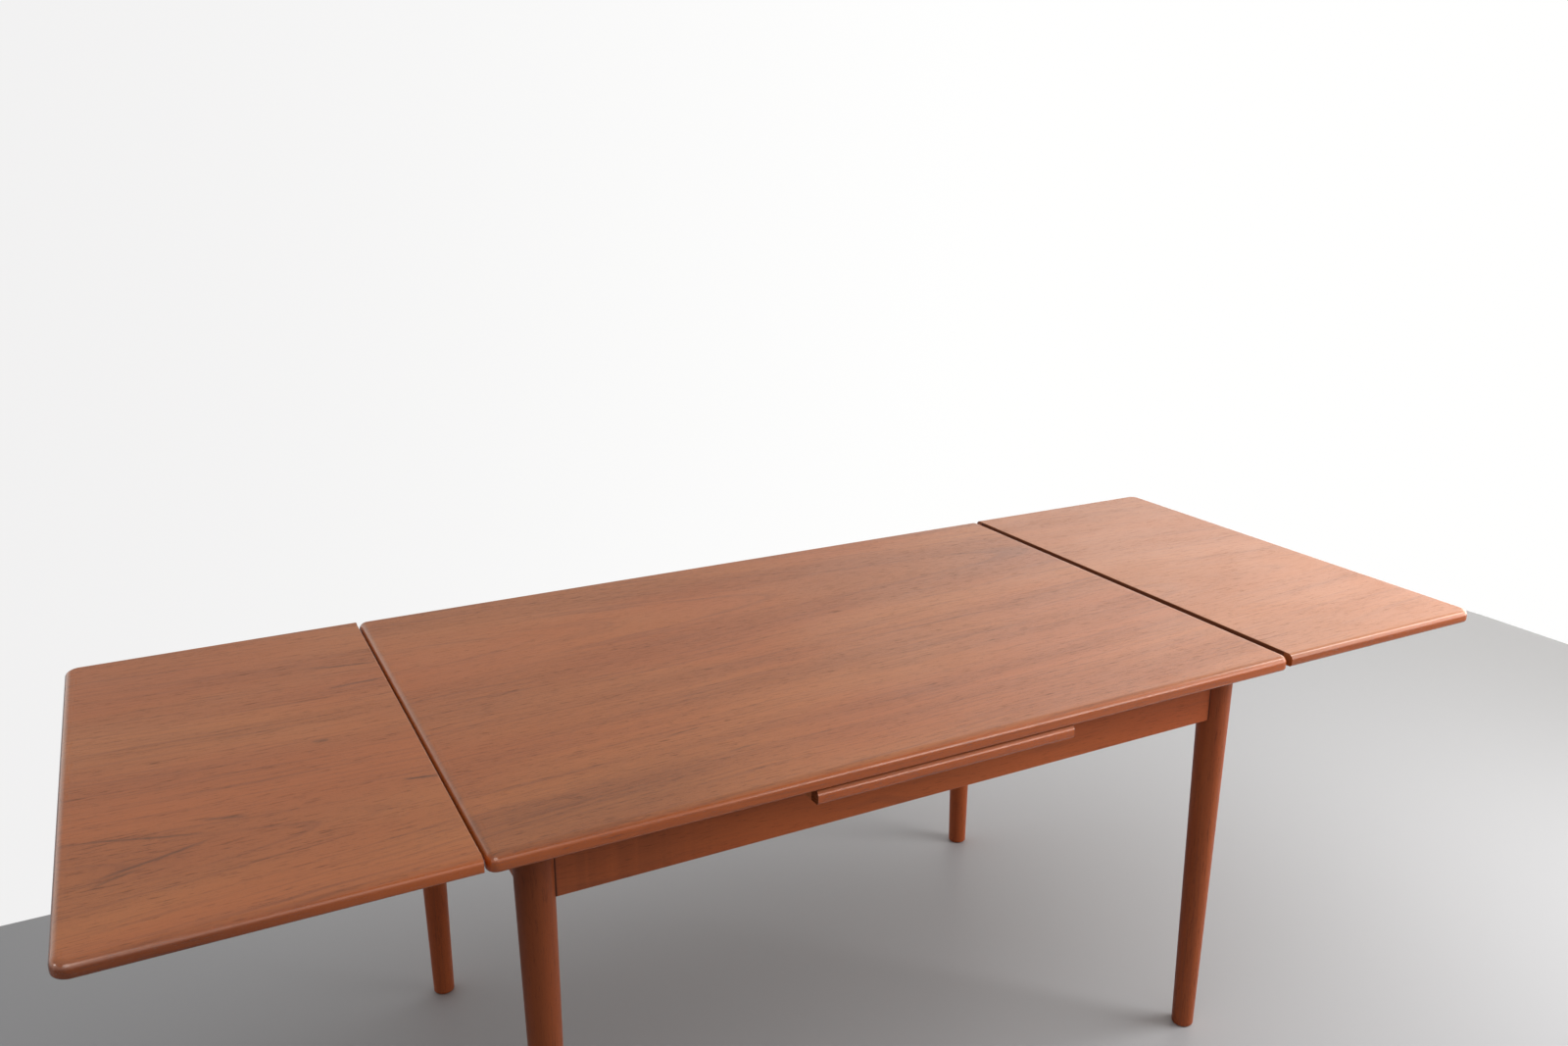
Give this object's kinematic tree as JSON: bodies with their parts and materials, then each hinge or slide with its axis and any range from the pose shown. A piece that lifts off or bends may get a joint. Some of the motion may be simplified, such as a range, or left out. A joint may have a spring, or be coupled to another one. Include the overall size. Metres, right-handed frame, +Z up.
{
  "type": "extending dining table",
  "caption": "Draw-leaf dining table with both end leaves drawn out, on turned and tapered legs, for seating people at a meal.",
  "frame": {"origin": "on the floor, under the centre of the drawn-out table", "axes": "+X along the table to the right as seen from its front, +Y to its back, +Z up"},
  "size_m": [2.248, 0.884, 0.7365],
  "materials": {
    "teak_veneer": "oiled, satin",
    "teak_lipping": "oiled, satin",
    "frame_teak": "oiled, satin",
    "loper_beech": "bare, planed",
    "inner_beech": "bare, planed",
    "screw_steel": "zinc plated"
  },
  "bodies": {
    "frame": {"board_screws": "screw_steel", "centre_board": "teak_veneer", "centre_board_edge_back": "teak_lipping", "centre_board_edge_front": "teak_lipping", "corner_block_back_left": "inner_beech", "corner_block_back_right": "inner_beech", "corner_block_front_left": "inner_beech", "corner_block_front_right": "inner_beech", "corner_block_screws": "screw_steel", "cross_rail_left": "inner_beech", "cross_rail_right": "inner_beech", "end_apron_left": "frame_teak", "end_apron_right": "frame_teak", "leg_back_left": "frame_teak", "leg_back_right": "frame_teak", "leg_front_left": "frame_teak", "leg_front_right": "frame_teak", "long_apron_back": "frame_teak", "long_apron_front": "frame_teak"},
    "top": {"guide_peg_back": "inner_beech", "guide_peg_front": "inner_beech", "main_top_lipping_back": "teak_lipping", "main_top_lipping_front": "teak_lipping", "main_top_lipping_left": "teak_lipping", "main_top_lipping_right": "teak_lipping", "main_top_panel": "teak_veneer"},
    "left_leaf": {"left_leaf_lipping_back": "teak_lipping", "left_leaf_lipping_end": "teak_lipping", "left_leaf_lipping_front": "teak_lipping", "left_leaf_panel": "teak_veneer", "left_loper_back": "loper_beech", "left_loper_front": "loper_beech", "left_loper_screws": "screw_steel", "left_loper_stop_pegs": "inner_beech"},
    "right_leaf": {"right_leaf_lipping_back": "teak_lipping", "right_leaf_lipping_end": "teak_lipping", "right_leaf_lipping_front": "teak_lipping", "right_leaf_panel": "teak_veneer", "right_loper_back": "loper_beech", "right_loper_front": "loper_beech", "right_loper_screws": "screw_steel", "right_loper_stop_pegs": "inner_beech"}
  },
  "joints": [
    {"name": "top_lift", "type": "slide", "parent": "frame", "child": "top", "axis": [0, 0, 1], "range_m": [0, 0.04]},
    {"name": "right_leaf_draw", "type": "slide", "parent": "frame", "child": "right_leaf", "axis": [0.9984, 0, 0.0571], "range_m": [-0.0035, 0.006]},
    {"name": "left_leaf_draw", "type": "slide", "parent": "frame", "child": "left_leaf", "axis": [-0.9984, 0, 0.0571], "range_m": [-0.0035, 0.006]}
  ]
}
